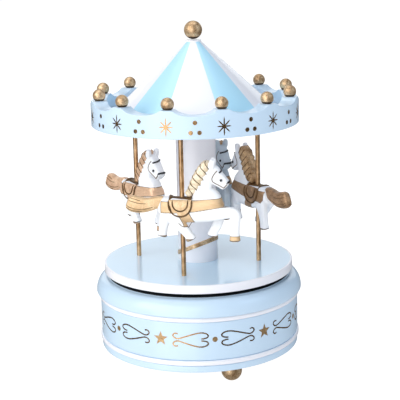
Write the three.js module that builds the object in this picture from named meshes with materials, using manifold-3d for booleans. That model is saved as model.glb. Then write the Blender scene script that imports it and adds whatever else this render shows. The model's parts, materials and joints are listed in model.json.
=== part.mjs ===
// Carousel music box: turned base with a movement inside, a turning platform with four horses
// on rods, a column, and a scalloped canopy with a striped cone roof.
// Millimetres, +Z up, origin under the middle of the feet. The front is -Y.
// Azimuths are measured from the front, towards +X.
import * as THREE from 'three';
import { mergeVertices } from 'three/addons/utils/BufferGeometryUtils.js';
import Module from 'manifold-3d';

const wasm = await Module();
wasm.setup();

// ---------------------------------------------------------------- driving sizes
const gap = 0.3;             // clearance kept between neighbours
const turnSides = 48;        // sides of a large turned piece

const footRadius = 5.1;
const footCircle = 41;
const footTurn = 21.7;       // azimuth of the first foot
const baseBottom = 8.7;
const baseTop = 45.3;
const lipRadius = 52.5;      // the widest ring of the whole object
const bandRadius = 50.7;
const beadRadius = 51.3;
const topWall = 39;          // underside of the wall over the movement

const platformRadius = 48.1;
const platformBottom = 47.4;
const platformTop = 51.7;

const columnRadius = 10;
const poleRadius = 1.18;
const poleCircle = 31.5;
const poleTurn = -13;        // azimuth of the first pole
const horseHeadings = [-8, -53, 120, -66];   // from +X, anticlockwise: front, left, right, back
const horsePoles = [-13, -103, 77, 167];      // azimuth of each horse's pole

const rimOuter = 51.7;
const rimInner = 44.5;
const rimBottom = 122.5;
const rimCrest = 135.8;
const rimDip = 2.7;          // depth of the scallops between the balls
const rimBalls = 12;
const rimBallRadius = 3.15;
const rimBallCircle = 48;
const rimBallHeight = 138.3;

const discBottom = 124;
const discTop = 127.7;
const coneTop = 162.5;
const coneTopRadius = 3.9;
const coneSlope = 0.92;      // height lost per mm of radius
const finialRadius = 4.5;
const finialHeight = 168;

const arborRadius = 2;
const pocketRadius = 33;     // movement pocket, bored off centre so the arbor sits on the axis
const pocketShift = 9.1;
const pocketTurn = -8.3;     // direction of the shift, from +X
const coverRadius = 35.2;

// ---------------------------------------------------------------- helpers
const radians = (degrees) => degrees * Math.PI / 180;

function atAzimuth(radius, azimuth) {
  return [radius * Math.sin(radians(azimuth)), -radius * Math.cos(radians(azimuth))];
}

// Closed, outward-facing solid from any three.js geometry.
function solid(geometry) {
  geometry.deleteAttribute('normal');
  geometry.deleteAttribute('uv');
  const merged = mergeVertices(geometry, 1e-4);
  const position = merged.attributes.position.array;
  const index = merged.index.array;
  const corner = (i) => new THREE.Vector3().fromArray(position, 3 * i);
  const kept = [];
  let volume = 0;
  for (let i = 0; i < index.length; i += 3) {
    const [a, b, c] = [index[i], index[i + 1], index[i + 2]];
    if (a === b || b === c || c === a) continue;
    kept.push(a, b, c);
    volume += corner(a).dot(corner(b).cross(corner(c)));
  }
  if (volume < 0) {
    for (let i = 0; i < kept.length; i += 3) {
      [kept[i], kept[i + 1]] = [kept[i + 1], kept[i]];
    }
  }
  return new wasm.Manifold(new wasm.Mesh({
    numProp: 3,
    vertProperties: new Float32Array(position),
    triVerts: new Uint32Array(kept),
  }));
}

// Turned piece about Z from [radius, height] pairs; the profile closes on the axis or on itself.
function turned(profile, sides = turnSides) {
  const points = profile.map(([r, z]) => new THREE.Vector2(Math.max(r, 0), z));
  const geometry = new THREE.LatheGeometry(points, sides);
  geometry.rotateX(Math.PI / 2);
  return solid(geometry);
}

function rod(radius, z0, z1, sides = 16) {
  return turned([[0, z0], [radius, z0], [radius, z1], [0, z1]], sides);
}

function box(x0, x1, y0, y1, z0, z1) {
  const geometry = new THREE.BoxGeometry(x1 - x0, y1 - y0, z1 - z0);
  geometry.translate((x0 + x1) / 2, (y0 + y1) / 2, (z0 + z1) / 2);
  return solid(geometry);
}

// Ball with its underside or top cut flat at the given height over its centre.
function ball(radius, flat, side, sides = 14, rings = 6) {
  const flatAngle = Math.acos(Math.min(1, flat / radius));
  const profile = [[0, flat * side]];
  for (let i = 0; i <= rings; i += 1) {
    const angle = flatAngle + (Math.PI - flatAngle) * i / rings;
    profile.push([radius * Math.sin(angle), radius * Math.cos(angle) * side]);
  }
  return turned(profile, sides);
}

function extruded(outline, depth, holes = []) {
  const shape = new THREE.Shape(outline.map(([x, y]) => new THREE.Vector2(x, y)));
  for (const [x, y, r] of holes) {
    const hole = new THREE.Path();
    hole.absarc(x, y, r, 0, 2 * Math.PI, true);
    shape.holes.push(hole);
  }
  return solid(new THREE.ExtrudeGeometry(shape, { depth, bevelEnabled: false, curveSegments: 8 }));
}

// Spur wheel lying on z = 0, with a bore.
function wheel(radius, teeth, thickness, bore, depth = 0.8) {
  const outline = [];
  for (let i = 0; i < teeth; i += 1) {
    for (const [part, r] of [[0, radius - depth], [0.3, radius], [0.55, radius], [0.85, radius - depth]]) {
      const angle = 2 * Math.PI * (i + part) / teeth;
      outline.push([r * Math.cos(angle), r * Math.sin(angle)]);
    }
  }
  return extruded(outline, thickness, [[0, 0, bore]]);
}

// Screw pointing up from its head; z is the underside of the head.
function screw(x, y, z, headRadius, headHeight, shankRadius, length) {
  return turned([
    [0, z], [headRadius, z], [headRadius, z + headHeight], [shankRadius, z + headHeight],
    [shankRadius, z + headHeight + length], [0, z + headHeight + length],
  ], 12).translate([x, y, 0]);
}

// Body through stations [x, y, z, half height, half width], each an oval across the path in XZ.
function limb(stations, sides = 8) {
  const positions = [];
  const index = [];
  const last = stations.length - 1;
  stations.forEach(([x, y, z, high, wide], i) => {
    const [x0, , z0] = stations[Math.max(i - 1, 0)];
    const [x1, , z1] = stations[Math.min(i + 1, last)];
    const length = Math.hypot(x1 - x0, z1 - z0);
    const across = [-(z1 - z0) / length, (x1 - x0) / length];
    for (let j = 0; j < sides; j += 1) {
      const angle = 2 * Math.PI * (j + 0.5) / sides;
      const up = high * Math.cos(angle);
      positions.push(x + across[0] * up, y + wide * Math.sin(angle), z + across[1] * up);
    }
  });
  for (let i = 0; i < last; i += 1) {
    for (let j = 0; j < sides; j += 1) {
      const a = i * sides + j;
      const b = i * sides + (j + 1) % sides;
      index.push(a, b, b + sides, a, b + sides, a + sides);
    }
  }
  for (const [end, flip] of [[0, true], [last, false]]) {
    for (let j = 1; j < sides - 1; j += 1) {
      const [b, c] = flip ? [j + 1, j] : [j, j + 1];
      index.push(end * sides, end * sides + b, end * sides + c);
    }
  }
  const geometry = new THREE.BufferGeometry();
  geometry.setAttribute('position', new THREE.Float32BufferAttribute(positions, 3));
  geometry.setIndex(index);
  return solid(geometry);
}

// ---------------------------------------------------------------- materials and the node list
const finishes = {
  blueWood: ['#c3def5', 0.35, 0],
  whiteWood: ['#f2f1ee', 0.4, 0],
  platformTop: ['#a8d4f5', 0.2, 0],
  gold: ['#b08d57', 0.38, 0.75],
  steel: ['#b9bcc0', 0.35, 0.9],
  brass: ['#c9a55a', 0.35, 0.9],
  springSteel: ['#6f7480', 0.35, 0.9],
  board: ['#b08a5e', 0.8, 0],
  zinc: ['#9a9da1', 0.5, 0.8],
};

const group = new THREE.Group();
group.name = 'carousel_music_box';

function add(name, body, finish) {
  const { vertProperties, triVerts } = body.getMesh();
  const geometry = new THREE.BufferGeometry();
  geometry.setAttribute('position', new THREE.BufferAttribute(vertProperties, 3));
  geometry.setIndex(new THREE.BufferAttribute(triVerts, 1));
  const [color, roughness, metalness] = finishes[finish];
  const mesh = new THREE.Mesh(geometry, new THREE.MeshStandardMaterial({ color, roughness, metalness }));
  mesh.name = name;
  group.add(mesh);
}

// Movement pieces are drawn with X along the pocket's shift, then turned into place.
const inMovement = (body) => body.rotate([0, 0, pocketTurn]);

// ---------------------------------------------------------------- base
// Quarter round of the lip, from the widest ring in to the top edge.
function lipProfile() {
  const points = [];
  const steps = 4;
  const low = 37.4;
  const inner = 46.8;
  for (let i = 0; i <= steps; i += 1) {
    const angle = radians(90 * i / steps);
    points.push([inner + (lipRadius - inner) * Math.cos(angle), low + (baseTop - 0.3 - low) * Math.sin(angle)]);
  }
  return points;
}

function bead(z0, z1) {
  const middle = (z0 + z1) / 2;
  return [[49.9, z0 - 0.25], [50.7, z0 + 0.1], [beadRadius, middle - 0.4], [beadRadius, middle + 0.4],
    [50.7, z1 - 0.1], [49.9, z1 + 0.2]];
}

const arborHole = arborRadius + 2.2;
const bearingHeight = 21.5;      // height of the cylinder's axis
const bedplateTop = topWall - gap;
const bedplateBottom = bedplateTop - 1.8;
const bedScrews = [[-10, -17], [-10, 16], [30, 8]];

const shellInner = 46.5;

let drum = turned([
  [arborHole, topWall], [shellInner, topWall], [shellInner, baseBottom], [50.3, baseBottom],
  [bandRadius, baseBottom + 0.5],
  [bandRadius, 11.9], ...bead(12.5, 14.7), [bandRadius - 0.1, 15.3], [bandRadius - 0.1, 33.4],
  ...bead(34.3, 36.3), [52.2, 36.7], ...lipProfile(), [46.4, baseTop], [arborHole, baseTop],
  [arborHole, topWall],
]);
// The wall is first turned thin, then filled back to the off-centre pocket.
const filling = rod(shellInner + 1, baseBottom, topWall + 1, turnSides)
  .subtract(inMovement(rod(pocketRadius, baseBottom - 1, topWall, 48).translate([pocketShift, 0, 0])))
  .subtract(inMovement(rod(coverRadius + gap, baseBottom - 1, 11.3, 48).translate([pocketShift, 0, 0])))
  .subtract(rod(arborHole, baseBottom - 1, baseTop, turnSides));
drum = drum.add(filling);
for (const [x, y] of bedScrews) {
  drum = drum.subtract(inMovement(rod(1.5, topWall - 1, 43, 12).translate([x, y, 0])));
}
const coverScrews = [60, 180, 300].map((turn) => [
  pocketShift + (pocketRadius + 1.1) * Math.cos(radians(turn)), (pocketRadius + 1.1) * Math.sin(radians(turn))]);
for (const [x, y] of coverScrews) {
  drum = drum.subtract(inMovement(rod(0.95, 11, 17, 12).translate([x, y, 0])));
}
add('base_drum', drum, 'blueWood');

let cover = rod(coverRadius, 9.2, 11, 48).translate([pocketShift, 0, 0]);
for (const [x, y] of coverScrews) {
  cover = cover.subtract(rod(0.9, 9, 12, 12).translate([x, y, 0]));
}
add('bottom_cover', inMovement(cover), 'board');
coverScrews.forEach(([x, y], i) => {
  add(`cover_screw_${i + 1}`, inMovement(screw(x, y, 8.1, 1.2, 0.8, 0.6, 7)), 'steel');
});

for (let i = 0; i < 3; i += 1) {
  const [x, y] = atAzimuth(footCircle, footTurn + 120 * i);
  const topFlat = baseBottom - gap - footRadius;
  add(`foot_${i + 1}`, ball(footRadius, topFlat, 1, 20, 8).translate([x, y, footRadius]), 'gold');
}

// ---------------------------------------------------------------- movement, fixed pieces
const worm = { x: 26.6, y: -19 };
const middleAxis = -12;          // Y of the intermediate arbor

let bedplate = box(-13, 33, -21, 19, bedplateBottom, bedplateTop)
  .subtract(rod(arborRadius + gap + 0.3, 30, 45, 16))
  .subtract(rod(1.1, 30, 45, 12).translate([worm.x, worm.y, 0]));
for (const [x, y] of bedScrews) {
  bedplate = bedplate.subtract(rod(1.5, 30, 45, 12).translate([x, y, 0]));
}
add('movement_bedplate', inMovement(bedplate), 'zinc');
bedScrews.forEach(([x, y], i) => {
  const head = 1.4;
  add(`movement_screw_${i + 1}`, inMovement(screw(x, y, bedplateBottom - gap - head, 2.2, head, 1.2, 5.5)), 'steel');
});

const housingTop = bedplateBottom - gap;
const housingBottom = 27.4;
add('spring_housing', inMovement(turned([
  [2.6, housingTop], [10.5, housingTop], [10.5, housingBottom], [9.5, housingBottom],
  [9.5, housingTop - 1.1], [2.6, housingTop - 1.1], [2.6, housingTop],
], 40)), 'brass');

function springOutline() {
  const turns = 4;
  const steps = 56;
  const thick = 0.45;
  const arm = (i, offset) => {
    const angle = 2 * Math.PI * turns * i / steps;
    const r = 2.7 + 5.9 * i / steps + offset;
    return [r * Math.cos(angle), r * Math.sin(angle)];
  };
  const outward = [];
  const inward = [];
  for (let i = 0; i <= steps; i += 1) {
    outward.push(arm(i, 0));
    inward.unshift(arm(i, thick));
  }
  return [...outward, ...inward];
}
add('mainspring', inMovement(extruded(springOutline(), 6.8).translate([0, 0, 27.9])), 'springSteel');

const combTop = 22;
const combBlockY = [12.5, 18.5];
const combScrews = [[17.5, 15.5], [26, 15.5]];
let combBlock = box(13.5, 30, ...combBlockY, combTop + gap, housingTop);
for (const [x, y] of combScrews) {
  combBlock = combBlock.subtract(rod(1.2, 20, 28, 12).translate([x, y, 0]));
}
add('comb_block', inMovement(combBlock), 'zinc');

function combOutline() {
  const teeth = 18;
  const [x0, x1] = [13.7, 29.8];
  const pitch = (x1 - x0) / teeth;
  const outline = [[x1, combBlockY[1]], [x0, combBlockY[1]]];
  for (let i = 0; i < teeth; i += 1) {
    const left = x0 + pitch * i;
    const right = left + pitch * (i === teeth - 1 ? 1 : 0.62);
    const root = 11.2;
    const tip = 7.1;
    outline.push([left, tip], [right, tip]);
    if (i < teeth - 1) outline.push([right, root], [left + pitch, root]);
  }
  return outline;
}
add('comb', inMovement(extruded(combOutline(), 1, combScrews.map(([x, y]) => [x, y, 1.2]))
  .translate([0, 0, combTop - 1])), 'steel');
combScrews.forEach(([x, y], i) => {
  add(`comb_screw_${i + 1}`, inMovement(screw(x, y, combTop - 1 - gap - 1.3, 2, 1.3, 0.9, 5.5)), 'steel');
});

function bearingPlate(x0, x1, y0, y1, z0, holes) {
  let plate = box(x0, x1, y0, y1, z0, housingTop);
  for (const y of holes) {
    const hole = rod(1.3, -5, 5, 12).rotate([0, 90, 0]).translate([(x0 + x1) / 2, y, bearingHeight]);
    plate = plate.subtract(hole);
  }
  return plate;
}
add('cylinder_near_bearing', inMovement(bearingPlate(11.5, 12.6, -4, 4, 18.5, [0])), 'zinc');
add('cylinder_far_bearing', inMovement(bearingPlate(32.6, 33.8, -15, 4, 18, [0, middleAxis])), 'zinc');

const frameFoot = box(22.5, 29, -20.8, -9, 13, 14.5)
  .subtract(rod(1, 10, 16, 12).translate([worm.x, worm.y, 0]));
add('governor_frame', inMovement(bearingPlate(22.5, 23.7, -14.4, -9, 13, [middleAxis]).add(frameFoot)), 'zinc');

// ---------------------------------------------------------------- movement, turning pieces
const alongX = (body, x, y) => inMovement(body.rotate([0, 90, 0]).translate([x, y, bearingHeight]));

add('pin_cylinder', alongX(turned([
  [0, 0], [1, 0], [1, 6.2], [6.3, 6.2], [6.3, 22.8], [1, 22.8], [1, 27.2], [0, 27.2],
], 24), 7, 0), 'brass');
add('cylinder_pinion', alongX(wheel(3.2, 12, 2.4, 1 + gap), 8, 0), 'brass');
add('cylinder_wheel', alongX(wheel(7, 28, 1.2, 1 + gap), 30.9, 0), 'brass');
add('intermediate_arbor', alongX(turned([
  [0, 0], [0.9, 0], [0.9, 9.3], [4.6, 9.3], [4.6, 10.5], [0.9, 10.5], [0.9, 12.4], [0, 12.4],
], 16), 21.6, middleAxis), 'steel');
add('intermediate_wheel', alongX(wheel(5.2, 20, 1.2, 0.9 + gap), 26, middleAxis), 'brass');
add('governor_worm', inMovement(turned([
  [0, 13.3], [0.7, 13.3], [0.7, 17.5], [1.4, 17.5], [1.4, 25.5], [0.7, 25.5], [0.7, 38.2], [0, 38.2],
], 12).translate([worm.x, worm.y, 0])), 'steel');
const fanBlades = box(-4, 4, -0.3, 0.3, 28.5, 34.5).add(rod(1.6, 28.5, 34.5, 12))
  .subtract(rod(0.7 + gap, 28, 35, 12));
add('governor_fan', inMovement(fanBlades.translate([worm.x, worm.y, 0])), 'brass');

add('winding_arbor', rod(arborRadius, 24.2, platformTop - 1, 16), 'steel');
add('great_gear', wheel(11, 30, 2, arborRadius + gap).translate([0, 0, 25]), 'brass');
add('hub_flange', turned([
  [arborRadius + gap, platformBottom - gap - 1.3], [8, platformBottom - gap - 1.3], [8, platformBottom - gap],
  [arborRadius + gap, platformBottom - gap], [arborRadius + gap, platformBottom - gap - 1.3],
], 32), 'brass');

// ---------------------------------------------------------------- platform, column and poles
const poleSocket = poleRadius + gap;
const poleBottom = platformTop - 2.7;
const poleTop = discBottom + 2.2;

let platform = turned([
  [arborRadius + gap, platformBottom], [platformRadius - 0.4, platformBottom],
  [platformRadius, platformBottom + 0.4], [platformRadius, platformTop - 0.4],
  [platformRadius - 0.4, platformTop], [arborRadius + gap, platformTop], [arborRadius + gap, platformBottom],
]);
let disc = rod(rimInner - gap, discBottom, discTop, turnSides);
horsePoles.forEach((azimuth, i) => {
  const [x, y] = atAzimuth(poleCircle, azimuth);
  platform = platform.subtract(rod(poleSocket, poleBottom - gap, platformTop + 1, 12).translate([x, y, 0]));
  disc = disc.subtract(rod(poleSocket, discBottom - 1, poleTop + gap, 12).translate([x, y, 0]));
  add(`pole_${i + 1}`, rod(poleRadius, poleBottom, poleTop, 12).translate([x, y, 0]), 'gold');
});
add('platform', platform, 'platformTop');
add('column', rod(columnRadius, platformTop + gap, discBottom - gap, 40), 'whiteWood');

// ---------------------------------------------------------------- horses
// Drawn with the pole at x = y = 0, nose towards +X.
function horse() {
  const near = -3.2;
  const far = 3.2;
  const trunk = limb([
    [-11.2, 0, 88.2, 1.8, 1.5], [-9.8, 0, 87.4, 3.8, 3.3], [-6, 0, 86, 5, 4.4], [0, 0, 85, 5.8, 4.6],
    [8, 0, 85, 5.8, 4.7], [14.5, 0, 85.7, 5.8, 4.5], [18.6, 0, 86.6, 4.6, 3.5], [20.3, 0, 87.1, 2.4, 2],
  ], 10);
  const neck = limb([
    [11.8, 0, 86, 7.4, 4.1], [11, 0, 91, 6.8, 3.7], [9.8, 0, 96.2, 4.5, 3], [13, 0, 104.6, 3.8, 2.4],
  ]);
  const head = limb([
    [12.2, 0, 106.4, 1.7, 1.4], [13.8, 0, 104.6, 3.6, 2.5], [16.4, 0, 101.8, 3.8, 2.6],
    [19.6, 0, 98.7, 2.8, 1.7], [21.7, 0, 97, 1.9, 1.1],
  ]);
  const ears = limb([[14.2, 0, 106, 1.4, 2.1], [15.3, 0, 109.8, 0.7, 1.3]]);
  const mane = limb([
    [13.2, 0, 108.4, 1, 0.9], [11, 0, 106.6, 1.8, 1.5], [8.4, 0, 101.6, 1.8, 1.6], [4.9, 0, 93.6, 1.5, 1.3],
  ]);
  const tail = limb([
    [-8.8, 0, 88.8, 2.2, 2], [-12, 0, 88.4, 2.6, 2.1], [-18, 0, 87.2, 3.2, 2.1],
    [-22.4, 0, 87.4, 3.6, 2], [-25.1, 0, 88.8, 1.9, 1],
  ]);
  const legs = [
    [[13.5, near, 83.4, 3.6, 1.9], [21, near, 83.9, 3, 1.8], [25.4, near, 83.2, 2.9, 1.7],
      [26, near, 78, 2.1, 1.5], [25.7, near, 73, 2.2, 1.6], [25.6, near, 70.1, 2.6, 2]],
    [[13, far, 83.4, 3.6, 1.9], [17, far, 79.6, 2.7, 1.7], [15.4, far, 75.6, 2.3, 1.5],
      [13.7, far, 70.9, 2.8, 1.9]],
    [[-4.6, near, 84.2, 4.2, 2.1], [-2.2, near, 80, 3.3, 1.9], [1.2, near, 76, 2.5, 1.6],
      [4.5, near, 70.7, 2.5, 1.9]],
    [[-6.8, far, 84.2, 3.8, 2], [-9, far, 79.6, 2.8, 1.8], [-10, far, 75.6, 2.1, 1.5],
      [-10.8, far, 70.7, 2.5, 1.8]],
  ];
  let body = trunk;
  for (const part of [neck, head, ears, mane, tail, ...legs.map((leg) => limb(leg, 8))]) {
    body = body.add(part);
  }
  return body.subtract(rod(poleRadius + gap, 60, 115, 12));
}

const horseBody = horse();
horsePoles.forEach((azimuth, i) => {
  const [x, y] = atAzimuth(poleCircle, azimuth);
  add(`horse_${i + 1}`, horseBody.rotate([0, 0, horseHeadings[i]]).translate([x, y, 0]), 'whiteWood');
});

// ---------------------------------------------------------------- canopy
add('canopy_disc', disc, 'whiteWood');

// Height of the rim's top edge: a small flat under each ball, a hollow scallop between two balls.
function rimHeight(azimuth) {
  const pitch = 360 / rimBalls;
  const fromBall = Math.abs(((azimuth - pitch / 2) % pitch + pitch + pitch / 2) % pitch - pitch / 2);
  const flat = 3.6;
  if (fromBall <= flat) return rimCrest;
  const along = (fromBall - flat) / (pitch / 2 - flat);
  return rimCrest - rimDip * Math.sqrt(1 - (1 - along) ** 2);
}

function canopyRim() {
  const steps = 96;
  const positions = [];
  const index = [];
  for (let i = 0; i < steps; i += 1) {
    const azimuth = 360 * i / steps;
    for (const [r, z] of [[rimInner, rimBottom], [rimOuter, rimBottom], [rimOuter, rimHeight(azimuth)],
      [rimInner, rimHeight(azimuth)]]) {
      positions.push(...atAzimuth(r, azimuth), z);
    }
    for (let j = 0; j < 4; j += 1) {
      const next = (i + 1) % steps;
      const [a, b] = [i * 4 + j, i * 4 + (j + 1) % 4];
      const [c, d] = [next * 4 + j, next * 4 + (j + 1) % 4];
      index.push(a, c, b, b, c, d);
    }
  }
  const geometry = new THREE.BufferGeometry();
  geometry.setAttribute('position', new THREE.Float32BufferAttribute(positions, 3));
  geometry.setIndex(index);
  return solid(geometry);
}
add('canopy_rim', canopyRim(), 'blueWood');

for (let i = 0; i < rimBalls; i += 1) {
  const [x, y] = atAzimuth(rimBallCircle, 360 / rimBalls * (i + 0.5));
  const flat = rimBallHeight - rimCrest - gap;
  add(`rim_ball_${i + 1}`, ball(rimBallRadius, flat, -1, 12, 5).translate([x, y, rimBallHeight]), 'gold');
}

const coneBottom = discTop + gap;
const coneRadius = coneTopRadius + (coneTop - coneBottom) / coneSlope;
const coneWall = 6;
add('roof_cone', turned([
  [coneRadius - coneWall, coneBottom], [coneRadius, coneBottom], [coneTopRadius, coneTop],
  [coneTopRadius, coneTop + 0.7], [0, coneTop + 0.7], [0, coneTop - 8],
  [coneRadius - coneWall, coneBottom],
]), 'whiteWood');
add('roof_finial', ball(finialRadius, finialHeight - coneTop - 0.7 - gap, -1, 24, 10)
  .translate([0, 0, finialHeight]), 'gold');

export default group;
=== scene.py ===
import json
import math
import bmesh
import bpy
import numpy as np
from mathutils import Matrix, Vector


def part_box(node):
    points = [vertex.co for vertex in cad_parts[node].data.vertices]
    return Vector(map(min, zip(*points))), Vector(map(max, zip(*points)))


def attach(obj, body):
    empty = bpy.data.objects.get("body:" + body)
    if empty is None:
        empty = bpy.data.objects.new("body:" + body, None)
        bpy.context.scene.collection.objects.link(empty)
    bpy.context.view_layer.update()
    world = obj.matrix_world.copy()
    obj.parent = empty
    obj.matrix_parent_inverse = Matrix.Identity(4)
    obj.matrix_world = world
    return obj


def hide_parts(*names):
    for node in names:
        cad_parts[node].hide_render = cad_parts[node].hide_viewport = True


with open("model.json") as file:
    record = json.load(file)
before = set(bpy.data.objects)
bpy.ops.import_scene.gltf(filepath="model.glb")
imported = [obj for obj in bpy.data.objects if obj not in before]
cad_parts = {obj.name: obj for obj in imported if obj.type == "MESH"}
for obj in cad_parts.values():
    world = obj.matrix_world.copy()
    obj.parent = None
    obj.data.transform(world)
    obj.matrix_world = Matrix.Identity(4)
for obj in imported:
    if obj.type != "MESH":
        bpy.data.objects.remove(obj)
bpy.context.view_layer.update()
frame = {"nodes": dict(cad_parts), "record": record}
print("frame loaded:", len(frame["nodes"]), "nodes")

mm = 0.001  # shapes are worked out in millimetres and stored in metres


def boxMm(node):
    low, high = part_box(node)
    return np.array(low) / mm, np.array(high) / mm


# ---- mesh helpers


def gridFaces(rows, cols, wrapRows=False, wrapCols=True):
    # quads between neighbours of a rows x cols grid, joined round where it wraps
    r, c = np.meshgrid(
        np.arange(rows if wrapRows else rows - 1), np.arange(cols if wrapCols else cols - 1), indexing="ij"
    )
    nextR, nextC = (r + 1) % rows, (c + 1) % cols
    corners = [r * cols + c, r * cols + nextC, nextR * cols + nextC, nextR * cols + c]
    return np.stack(corners, -1).reshape(-1, 4)


def joined(shapes):
    # several (points, faces) pairs as one pair
    points, faces, count = [], [], 0
    for p, f in shapes:
        p = p.reshape(-1, 3)
        points.append(p)
        faces.append(f + count)
        count += len(p)
    return np.concatenate(points), np.concatenate(faces)


def spun(points, azimuths):
    # the same shape turned about the Z axis to each azimuth, in degrees from the front
    turned = []
    for a in np.radians(azimuths):
        c, s = math.cos(a), math.sin(a)
        turned.append(points.reshape(-1, 3) @ np.array([[c, s, 0], [-s, c, 0], [0, 0, 1]]))
    return turned


def makePiece(name, shape, materials, body, stands=(), paint=None, sharp=35):
    # mesh from (points, faces): doubles merged, faces turned outwards, smooth but for edges over `sharp`
    # degrees; `paint` gives each face the number of its material from the face's middle
    points, faces = shape
    mesh = bpy.data.meshes.new(name)
    mesh.from_pydata((points.reshape(-1, 3) * mm).tolist(), [], faces.tolist())
    for material in materials:
        mesh.materials.append(material)
    if paint is not None:
        middle = points.reshape(-1, 3)[faces].mean(1)
        mesh.polygons.foreach_set("material_index", paint(middle).astype(np.int32))
    bm = bmesh.new()
    bm.from_mesh(mesh)
    bmesh.ops.remove_doubles(bm, verts=bm.verts, dist=2e-6)
    bmesh.ops.recalc_face_normals(bm, faces=bm.faces)
    bm.to_mesh(mesh)
    bm.free()
    mesh.polygons.foreach_set("use_smooth", np.ones(len(mesh.polygons), bool))
    mesh.set_sharp_from_angle(angle=math.radians(sharp))
    piece = bpy.data.objects.new(name, mesh)
    bpy.context.scene.collection.objects.link(piece)
    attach(piece, body)
    if stands:
        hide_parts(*stands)
    return piece


def rounded(corners, steps=5):
    # each corner [radius, height, rounding] becomes a short quadratic curve that starts and ends `rounding`
    # away from it along its two sides
    corners = np.array(corners, float)
    here, size = corners[:, :2], corners[:, 2]

    def towards(other):
        way = other - here
        length = np.maximum(np.linalg.norm(way, axis=1), 1e-9)
        return here + way * np.minimum(size / length, 0.5)[:, None]

    start, end = towards(np.roll(here, 1, 0)), towards(np.roll(here, -1, 0))
    t = np.linspace(0, 1, steps)[None, :, None]
    curve = (1 - t) ** 2 * start[:, None] + 2 * t * (1 - t) * here[:, None] + t * t * end[:, None]
    return curve.reshape(-1, 2)


def turnedShape(profile, segments=160, shift=None):
    # a profile of [radius, height] swept round Z; it ends on the axis or closes on itself
    profile = np.asarray(profile, float)
    a = np.linspace(0, 2 * np.pi, segments, endpoint=False)[None, :]
    r, z = profile[:, :1], profile[:, 1:2]
    points = np.stack([r * np.sin(a), -r * np.cos(a), z + 0 * a], -1)
    if shift is not None:
        points[..., :2] += shift[:, None, :]
    return points, gridFaces(len(profile), segments, wrapRows=profile[0, 0] > 0)


def ballProfile(radius, centre, flatLow, flatHigh, steps=28):
    # half circle from the lower flat to the upper flat, closed along both flats
    low = math.acos(min(1, flatLow / radius))
    high = math.acos(min(1, flatHigh / radius))
    a = np.linspace(low, math.pi - high, steps)
    arc = np.stack([radius * np.sin(a), centre - radius * np.cos(a)], 1)
    return np.vstack([[0, arc[0, 1]], arc, [0, arc[-1, 1]]])


def smoothLine(points, steps=8):
    # Catmull-Rom curve through the points, with `steps` samples between two of them
    p = np.asarray(points, float)
    q = np.vstack([2 * p[0] - p[1], p, 2 * p[-1] - p[-2]])
    t = np.linspace(0, 1, steps, endpoint=False)[None, :, None]
    a, b, c, d = (q[i : len(q) - 3 + i][:, None] for i in range(4))
    line = 0.5 * (2 * b + (c - a) * t + (2 * a - 5 * b + 4 * c - d) * t**2 + (3 * b - a - 3 * c + d) * t**3)
    return np.vstack([line.reshape(-1, p.shape[1]), p[-1:]])


def onDrum(across, up, radius):
    # wraps a flat drawing round a drum: `across` is the length along the wall from the front
    a = across / radius
    return np.stack([radius * np.sin(a), -radius * np.cos(a), up + 0 * a], -1)


def foilPatch(outline, height, drum, thick):
    # flat outline filled with rings shrinking to its middle, bent round the drum and given a thin edge
    t = np.linspace(0, 1, 5)[:, None, None]
    flat = outline[None] * t
    top = onDrum(flat[..., 0], height + flat[..., 1], drum + thick)
    low = onDrum(flat[::-1][..., 0], height + flat[::-1][..., 1], drum - thick)
    points = np.concatenate([top, low])
    return points, gridFaces(len(points), len(outline))


def foilRibbon(line, width, height, drum, thick):
    # a line drawn with a flat pen: four corners carried along it, bent round the drum, ends closed
    way = np.gradient(line, axis=0)
    way /= np.linalg.norm(way, axis=1)[:, None]
    side = np.stack([-way[:, 1], way[:, 0]], 1) * width / 2
    left, right = line + side, line - side
    corners = [(left, thick), (right, thick), (right, -thick), (left, -thick)]
    points = np.stack([onDrum(p[:, 0], height + p[:, 1], drum + d) for p, d in corners], 1)
    last = len(line) - 1
    caps = np.array([[0, 1, 2, 3], [last * 4 + 3, last * 4 + 2, last * 4 + 1, last * 4]])
    return points, np.concatenate([gridFaces(len(line), 4), caps])


def tubeShape(line, radius, around=10):
    # round section carried along a line; the section shrinks to nothing at both ends
    line = np.asarray(line, float)
    way = np.gradient(line, axis=0)
    way /= np.linalg.norm(way, axis=1)[:, None]
    up = np.array([0.31, 0.17, 0.93])
    side = np.cross(way, up)
    side /= np.linalg.norm(side, axis=1)[:, None]
    lift = np.cross(side, way)
    size = np.full(len(line), radius)
    size[[0, -1]] = 0
    a = np.linspace(0, 2 * np.pi, around, endpoint=False)[None, :, None]
    points = line[:, None] + size[:, None, None] * (side[:, None] * np.cos(a) + lift[:, None] * np.sin(a))
    return points, gridFaces(len(line), around)


# ---- materials


def toLinear(hexColour):
    parts = [int(hexColour[i : i + 2], 16) / 255 for i in (1, 3, 5)]
    return [c / 12.92 if c <= 0.04045 else ((c + 0.055) / 1.055) ** 2.4 for c in parts] + [1]


def addNode(tree, kind, inputs=None, **settings):
    # one node with its settings; an input is a number, a colour or another node's socket
    node = tree.nodes.new(kind)
    for key, value in settings.items():
        setattr(node, key, value)
    for key, value in (inputs or {}).items():
        if isinstance(value, bpy.types.NodeSocket):
            tree.links.new(value, node.inputs[key])
        else:
            node.inputs[key].default_value = value
    return node


def newMaterial(name):
    material = bpy.data.materials.new(name)
    material.use_nodes = True
    tree = material.node_tree
    shader = tree.nodes["Principled BSDF"]
    place = addNode(tree, "ShaderNodeTexCoord").outputs["Object"]
    return material, tree, shader, place


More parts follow.
